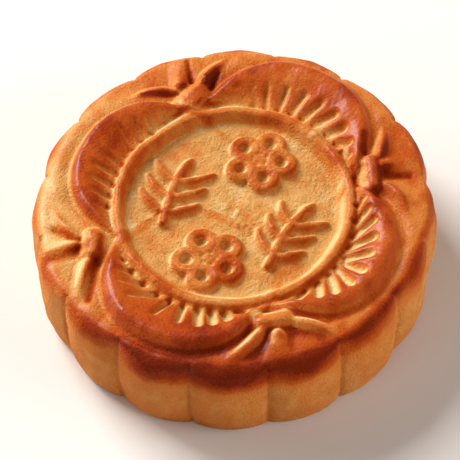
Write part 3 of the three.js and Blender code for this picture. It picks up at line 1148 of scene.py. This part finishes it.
class Graph:
    """A material's node tree."""

    def __init__(self, name: str) -> None:
        """Makes an empty material with an output.

        Args:
            name: The material's name.
        """
        self.material = bpy.data.materials.new(name)
        self.material.use_nodes = True
        self.tree = self.material.node_tree
        self.tree.nodes.clear()
        self.output = self.tree.nodes.new("ShaderNodeOutputMaterial")

    def node(self, kind: str, settings: dict, inputs: dict, result: int | str = 0) -> Signal:
        """Adds a node.

        Args:
            kind: Its type.
            settings: Its own settings, by attribute name.
            inputs: What its sockets get, by name or number: a signal is linked, and
                anything else is the socket's value.
            result: The output socket to give back.

        Returns:
            That output.
        """
        made = self.tree.nodes.new(kind)
        for key, value in settings.items():
            setattr(made, key, value)
        for key, value in inputs.items():
            if isinstance(value, Signal):
                self.tree.links.new(value.socket, made.inputs[key])
            else:
                made.inputs[key].default_value = value
        return Signal(self, made.outputs[result])

    def attribute(self, name: str) -> Signal:
        """A point attribute's number."""
        return self.node("ShaderNodeAttribute", {"attribute_name": name}, {}, "Fac")

    def place(self) -> Signal:
        """The object's own coordinates, in metres."""
        return self.node("ShaderNodeTexCoord", {}, {}, "Object")

    def noise(self, place: Signal, size: float, detail: float, roughness: float = 0.55) -> Signal:
        """Noise from 0 to 1 with features of about size millimetres."""
        inputs = {"Vector": place, "Scale": 1.0 / (size * MM), "Detail": detail, "Roughness": roughness}
        return self.node("ShaderNodeTexNoise", {}, inputs)

    def mix(self, first: "Signal | Colour", second: Colour, share: Signal) -> Signal:
        """The first colour with the second laid over it by share."""
        below = first if isinstance(first, Signal) else (*first, 1.0)
        return self.node("ShaderNodeMix", {"data_type": "RGBA"}, {0: share, 6: below, 7: (*second, 1.0)}, 2)

    def finish(self, inputs: dict) -> bpy.types.Material:
        """Ends the tree with a principled shader.

        Args:
            inputs: What the shader's sockets get, by name.

        Returns:
            The material.
        """
        shader = self.node("ShaderNodeBsdfPrincipled", {}, inputs)
        self.tree.links.new(shader.socket, self.output.inputs["Surface"])
        return self.material


def from_screen(red: int, green: int, blue: int) -> Colour:
    """The linear colour of a screen colour given from 0 to 255."""
    parts = [value / 255.0 for value in (red, green, blue)]
    return tuple(part / 12.92 if part <= 0.04045 else ((part + 0.055) / 1.055) ** 2.4 for part in parts)


@dataclass(frozen=True)
class CrustFinish:
    """Baked dough, brushed with egg: pale gold where it is hollow, dark and glossy on top.

    Attributes:
        stops: Where on the bake_and_light map each colour begins, in rising order, and the colour.
        chipped: Colour of the dough where the glaze has flaked.
        depth: Height of the finest relief, in metres.
    """

    stops: tuple[tuple[float, Colour], ...] = (
        (0.00, from_screen(240, 206, 146)),
        (0.22, from_screen(222, 163, 93)),
        (0.45, from_screen(212, 124, 54)),
        (0.65, from_screen(190, 84, 24)),
        (0.85, from_screen(158, 54, 10)),
        (1.00, from_screen(124, 36, 4)),
    )
    chipped: Colour = from_screen(240, 182, 124)
    depth: float = 0.36 * MM

    def material(self) -> bpy.types.Material:
        """The crust's material: colour by its bake with painted light and shade, gloss by its glaze, and a
        grain with pores.

        Returns:
            The material.
        """
        graph = Graph("crust_baked")
        place = graph.place()
        mottle = graph.noise(place, 2.2, 3.0) - 0.5
        speckle = graph.noise(place, 0.45, 2.0) - 0.5
        bake_and_light = graph.attribute("bake_and_light") + mottle * 0.16 + speckle * 0.2
        colour: Signal | Colour = self.stops[0][1]
        for (low, _), (high, shade) in zip(self.stops[:-1], self.stops[1:]):
            colour = graph.mix(colour, shade, bake_and_light.ramp(low, high))
        chip = graph.attribute("chip")
        colour = graph.mix(colour, self.chipped, (chip + speckle * 1.1).ramp(0.25, 0.95))
        glaze = graph.attribute("glaze") + mottle * 0.5 - chip * 0.6
        grain = graph.noise(place, 0.38, 3.0, 0.6)
        pores = graph.noise(place, 1.1, 2.0)
        relief = (grain * 1.2 + pores * 0.7) * (1.4 - 0.45 * glaze)
        bump = {"Strength": 0.9, "Distance": self.depth, "Height": relief}
        return graph.finish(
            {
                "Base Color": colour,
                "Roughness": (0.6 - glaze * 0.26 + speckle * 0.10).clipped(0.25, 0.8),
                "Normal": graph.node("ShaderNodeBump", {}, bump, "Normal"),
                "Specular IOR Level": 0.04,
                "Coat Weight": (glaze * 0.42).clipped(0.0, 1.0),
                "Coat Roughness": 0.3,
                "Coat Tint": (1.0, 0.94, 0.86, 1.0),
                "Subsurface Weight": 0.06,
                "Subsurface Radius": (1.0, 0.45, 0.2),
                "Subsurface Scale": 1.2 * MM,
            }
        )


@dataclass(frozen=True)
class TableFinish:
    """A plain pale matt table."""

    colour: Colour = (0.82, 0.80, 0.785)

    def material(self) -> bpy.types.Material:
        """The table's material."""
        return Graph("table_matt").finish({"Base Color": (*self.colour, 1.0), "Roughness": 0.9})


# The studio


def add_object(name: str, data: bpy.types.ID) -> bpy.types.Object:
    """Adds an object to the scene.

    Args:
        name: Its name.
        data: Its mesh, light or camera.

    Returns:
        The object.
    """
    made = bpy.data.objects.new(name, data)
    bpy.context.collection.objects.link(made)
    return made


@dataclass(frozen=True)
class SoftLight:
    """A square area light that faces a point of the cake.

    Attributes:
        bearing: Where it stands.
        elevation: How high, in degrees.
        distance: How far away, in metres.
        width: Its side, in metres.
        power: In watts.
        colour: Its linear colour.
        mirrored: Whether glossy surfaces show it.
    """

    bearing: float
    elevation: float
    distance: float
    width: float
    power: float
    colour: Colour
    mirrored: bool = True

    def place(self, name: str, aim: Vector) -> None:
        """Adds the light.

        Args:
            name: Its name.
            aim: The point that it faces.
        """
        level, rise = polar(self.distance, self.elevation)
        spot = aim + Vector((*polar(level, self.bearing), rise))
        data = bpy.data.lights.new(name, "AREA")
        data.shape = "SQUARE"
        data.size = self.width
        data.energy = self.power
        data.color = self.colour
        lamp = add_object(name, data)
        lamp.visible_glossy = self.mirrored
        facing = (spot - aim).to_track_quat("Z", "Y").to_matrix().to_4x4()
        lamp.matrix_world = Matrix.Translation(spot) @ facing


@dataclass(frozen=True)
class Studio:
    """Camera, table, lights and surroundings."""

    lens: float = 222.9
    sensor: float = 36.0
    distance: float = 0.462
    bearing: float = 299.3
    elevation: float = 54.61
    roll: float = -1.89
    target: tuple[float, float, float] = (-0.18, -1.09, 11.55)
    table_side: float = 6.0
    surroundings: float = 0.14
    surroundings_colour: Colour = (1.0, 0.86, 0.72)
    lights: tuple[tuple[str, SoftLight], ...] = (
        ("key_light", SoftLight(162.0, 42.0, 0.9, 0.45, 10.8, (1.0, 0.985, 0.96))),
        ("low_light", SoftLight(180.0, 13.0, 0.9, 0.7, 5.0, (1.0, 0.88, 0.74))),
        ("side_light", SoftLight(10.0, 18.0, 0.9, 0.6, 5.5, (1.0, 0.95, 0.9), mirrored=False)),
        ("front_light", SoftLight(262.0, 40.0, 1.1, 0.7, 1.3, (1.0, 0.95, 0.88), mirrored=False)),
    )

    def aim(self) -> Vector:
        """The point that the camera and the lights face."""
        return Vector(self.target) * MM

    def add_camera(self) -> None:
        """Adds the camera: it faces the aim from its bearing and elevation, rolled a little."""
        level, rise = polar(1.0, self.elevation)
        back = Vector((*polar(level, self.bearing), rise))
        right = Vector((0.0, 0.0, 1.0)).cross(back).normalized()
        up = back.cross(right)
        across, along = polar(1.0, self.roll)
        axes = Matrix((across * right + along * up, across * up - along * right, back))
        data = bpy.data.cameras.new("camera")
        data.lens = self.lens
        data.sensor_width = self.sensor
        data.clip_start = 0.02
        data.clip_end = 20.0
        camera = add_object("camera", data)
        turn = axes.transposed().to_4x4()
        camera.matrix_world = Matrix.Translation(self.aim() + self.distance * back) @ turn
        bpy.context.scene.camera = camera

    def add_table(self) -> None:
        """Adds the table's top, a flat square at the cake's foot."""
        half = self.table_side / 2.0
        corners = [(-half, -half, 0.0), (half, -half, 0.0), (half, half, 0.0), (-half, half, 0.0)]
        mesh = bpy.data.meshes.new("table_top")
        mesh.from_pydata(corners, [], [(0, 1, 2, 3)])
        mesh.materials.append(TableFinish().material())
        add_object("table_top", mesh)

    def add_light(self) -> None:
        """Adds the lights and the pale surroundings."""
        for name, light in self.lights:
            light.place(name, self.aim())
        world = bpy.data.worlds.new("surroundings")
        world.use_nodes = True
        background = world.node_tree.nodes["Background"]
        background.inputs["Color"].default_value = (*self.surroundings_colour, 1.0)
        background.inputs["Strength"].default_value = self.surroundings
        bpy.context.scene.world = world
        bpy.context.scene.view_settings.view_transform = "Standard"


# The whole


def main() -> None:
    """Builds the studio and the cake, and says where the cake's skin belongs."""
    logging.basicConfig(level=logging.INFO, format="%(name)s: %(message)s")
    studio = Studio()
    studio.add_camera()
    studio.add_table()
    studio.add_light()
    crust = Cake().skin().build("mooncake_crust", CrustFinish().material())
    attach(crust, "root")
    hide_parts("mooncake")
    LOG.info("%s has %d points and %d faces", crust.name, len(crust.data.vertices), len(crust.data.polygons))


if __name__ == "__main__":
    main()
